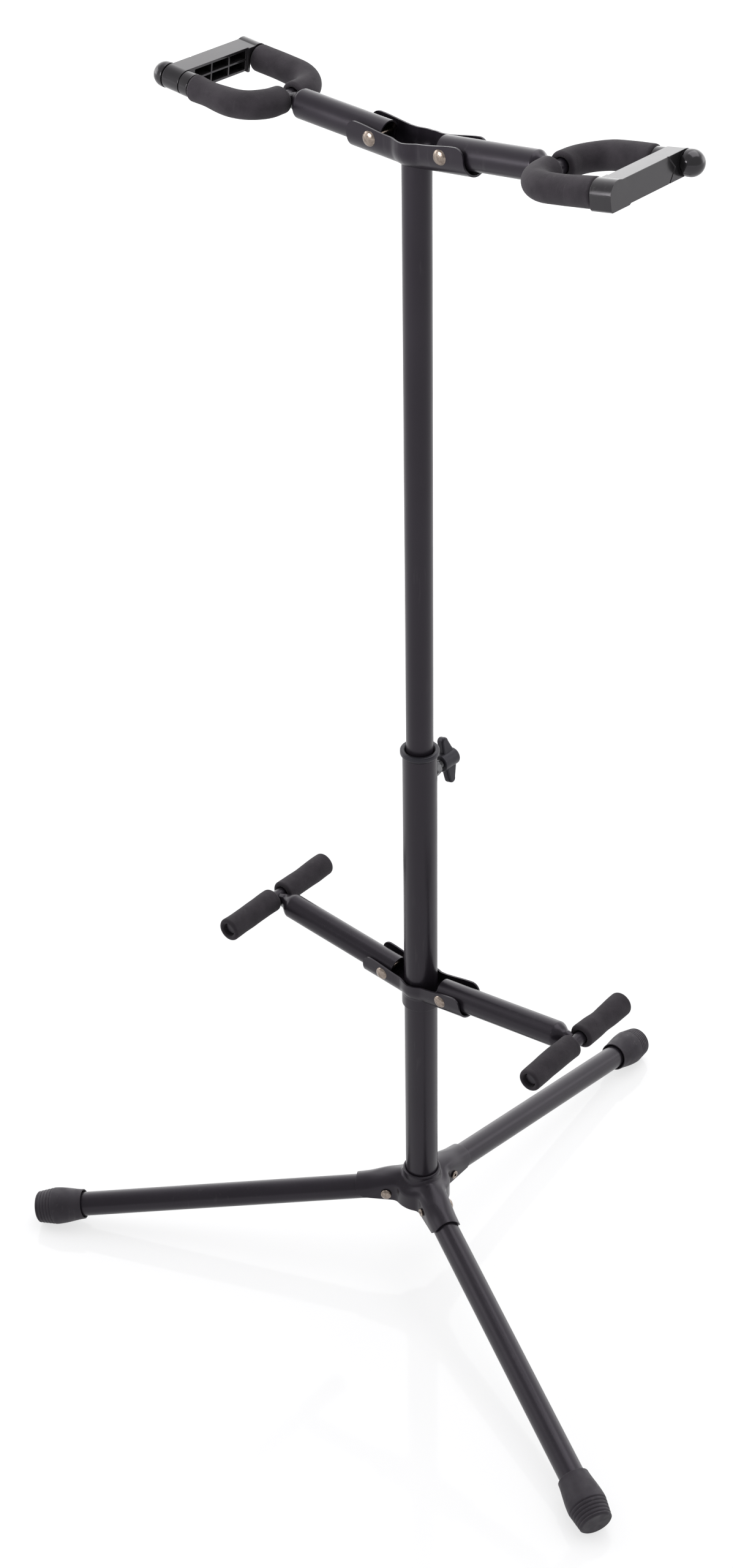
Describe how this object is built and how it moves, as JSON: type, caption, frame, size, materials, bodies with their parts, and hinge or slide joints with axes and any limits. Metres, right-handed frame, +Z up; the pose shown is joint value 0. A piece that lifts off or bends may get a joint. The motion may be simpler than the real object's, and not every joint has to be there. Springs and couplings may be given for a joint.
{
  "type": "double guitar stand",
  "caption": "Folding tripod stand with a telescoping mast, padded back rests and gated neck yokes that hold a guitar on each side.",
  "frame": {"origin": "centre of the box's underside, on the floor", "axes": "+Z up; the arms and yokes lie along X; the wing knob faces +Y"},
  "size_m": [0.6412, 0.5672, 1.0839],
  "materials": {
    "satin_black_steel": "satin black powder coat",
    "boot_rubber": "matte dark grey rubber",
    "foam_charcoal": "matte charcoal closed-cell foam",
    "moulded_black": "glossy black moulding",
    "knob_plastic": "satin black moulding",
    "rivet_nickel": "warm nickel plate",
    "zinc_steel": "bright zinc plate"
  },
  "bodies": {
    "base": {"tripod_hub": "satin_black_steel", "outer_tube": "satin_black_steel", "tube_collar": "knob_plastic", "clamp_nut": "zinc_steel", "lower_cradle": "satin_black_steel", "lower_rivet_left": "rivet_nickel", "lower_rivet_right": "rivet_nickel", "leg_rivet_left": "rivet_nickel", "leg_rivet_right": "rivet_nickel", "leg_rivet_back": "rivet_nickel"},
    "clamp": {"clamp_screw": "zinc_steel", "wing_knob": "knob_plastic"},
    "guide": {"mast_guide": "knob_plastic"},
    "mast": {"inner_tube": "satin_black_steel", "upper_cradle": "satin_black_steel", "upper_rivet_left": "rivet_nickel", "upper_rivet_right": "rivet_nickel"},
    "leg_left": {"leg_tube_left": "satin_black_steel", "leg_boot_left": "boot_rubber"},
    "leg_right": {"leg_tube_right": "satin_black_steel", "leg_boot_right": "boot_rubber"},
    "leg_back": {"leg_tube_back": "satin_black_steel", "leg_boot_back": "boot_rubber"},
    "rest_left": {"lower_arm_left": "satin_black_steel", "rest_rod_left": "satin_black_steel", "rest_foam_left_front": "foam_charcoal", "rest_foam_left_back": "foam_charcoal"},
    "yoke_left": {"upper_arm_left": "satin_black_steel", "yoke_rod_left": "satin_black_steel", "yoke_foam_left_front": "foam_charcoal", "yoke_foam_left_back": "foam_charcoal", "gate_sleeve_left": "moulded_black", "gate_cap_left": "moulded_black", "prong_tip_left": "moulded_black"},
    "gate_left": {"gate_bar_left": "moulded_black"},
    "rest_right": {"lower_arm_right": "satin_black_steel", "rest_rod_right": "satin_black_steel", "rest_foam_right_front": "foam_charcoal", "rest_foam_right_back": "foam_charcoal"},
    "yoke_right": {"upper_arm_right": "satin_black_steel", "yoke_rod_right": "satin_black_steel", "yoke_foam_right_front": "foam_charcoal", "yoke_foam_right_back": "foam_charcoal", "gate_sleeve_right": "moulded_black", "gate_cap_right": "moulded_black", "prong_tip_right": "moulded_black"},
    "gate_right": {"gate_bar_right": "moulded_black"}
  },
  "joints": [
    {"name": "knob_turn", "type": "hinge", "parent": "base", "child": "clamp", "pos_m": [-0.00537, -0.08105, 0.52213], "axis": [0, 1, 0], "range_deg": [0, 720]},
    {"name": "mast_slide", "type": "slide", "parent": "base", "child": "guide", "axis": [0, 0, 1], "range_m": [-0.4, 0]},
    {"name": "mast_swivel", "type": "hinge", "parent": "guide", "child": "mast", "pos_m": [-0.00537, -0.08105, 0.5], "axis": [0, 0, 1], "continuous": true},
    {"name": "leg_fold_left", "type": "hinge", "parent": "base", "child": "leg_left", "pos_m": [-0.03172, -0.09739, 0.07813], "axis": [0.527, -0.8499, 0], "range_deg": [0, 78.9]},
    {"name": "leg_fold_right", "type": "hinge", "parent": "base", "child": "leg_right", "pos_m": [0.02195, -0.0957, 0.07813], "axis": [0.4726, 0.8813, 0], "range_deg": [0, 78.9]},
    {"name": "leg_fold_back", "type": "hinge", "parent": "base", "child": "leg_back", "pos_m": [-0.00635, -0.05007, 0.07813], "axis": [-0.9995, -0.0314, 0], "range_deg": [0, 78.9]},
    {"name": "rest_fold_left", "type": "hinge", "parent": "base", "child": "rest_left", "pos_m": [-0.03717, -0.08105, 0.31524], "axis": [0, 1, 0], "range_deg": [0, 83.7]},
    {"name": "yoke_fold_left", "type": "hinge", "parent": "mast", "child": "yoke_left", "pos_m": [-0.03717, -0.08105, 1.0556], "axis": [0, 1, 0], "range_deg": [0, 85.1]},
    {"name": "rest_fold_right", "type": "hinge", "parent": "base", "child": "rest_right", "pos_m": [0.02643, -0.08105, 0.31524], "axis": [0, -1, 0], "range_deg": [0, 83.7]},
    {"name": "yoke_fold_right", "type": "hinge", "parent": "mast", "child": "yoke_right", "pos_m": [0.02643, -0.08105, 1.0556], "axis": [0, -1, 0], "range_deg": [0, 85.1]},
    {"name": "gate_swing_left", "type": "hinge", "parent": "yoke_left", "child": "gate_left", "pos_m": [-0.20566, -0.11965, 1.07366], "axis": [0.9912, 0, -0.1323], "range_deg": [0, 270]},
    {"name": "gate_swing_right", "type": "hinge", "parent": "yoke_right", "child": "gate_right", "pos_m": [0.19491, -0.04245, 1.07366], "axis": [-0.9912, 0, -0.1323], "range_deg": [0, 270]}
  ]
}
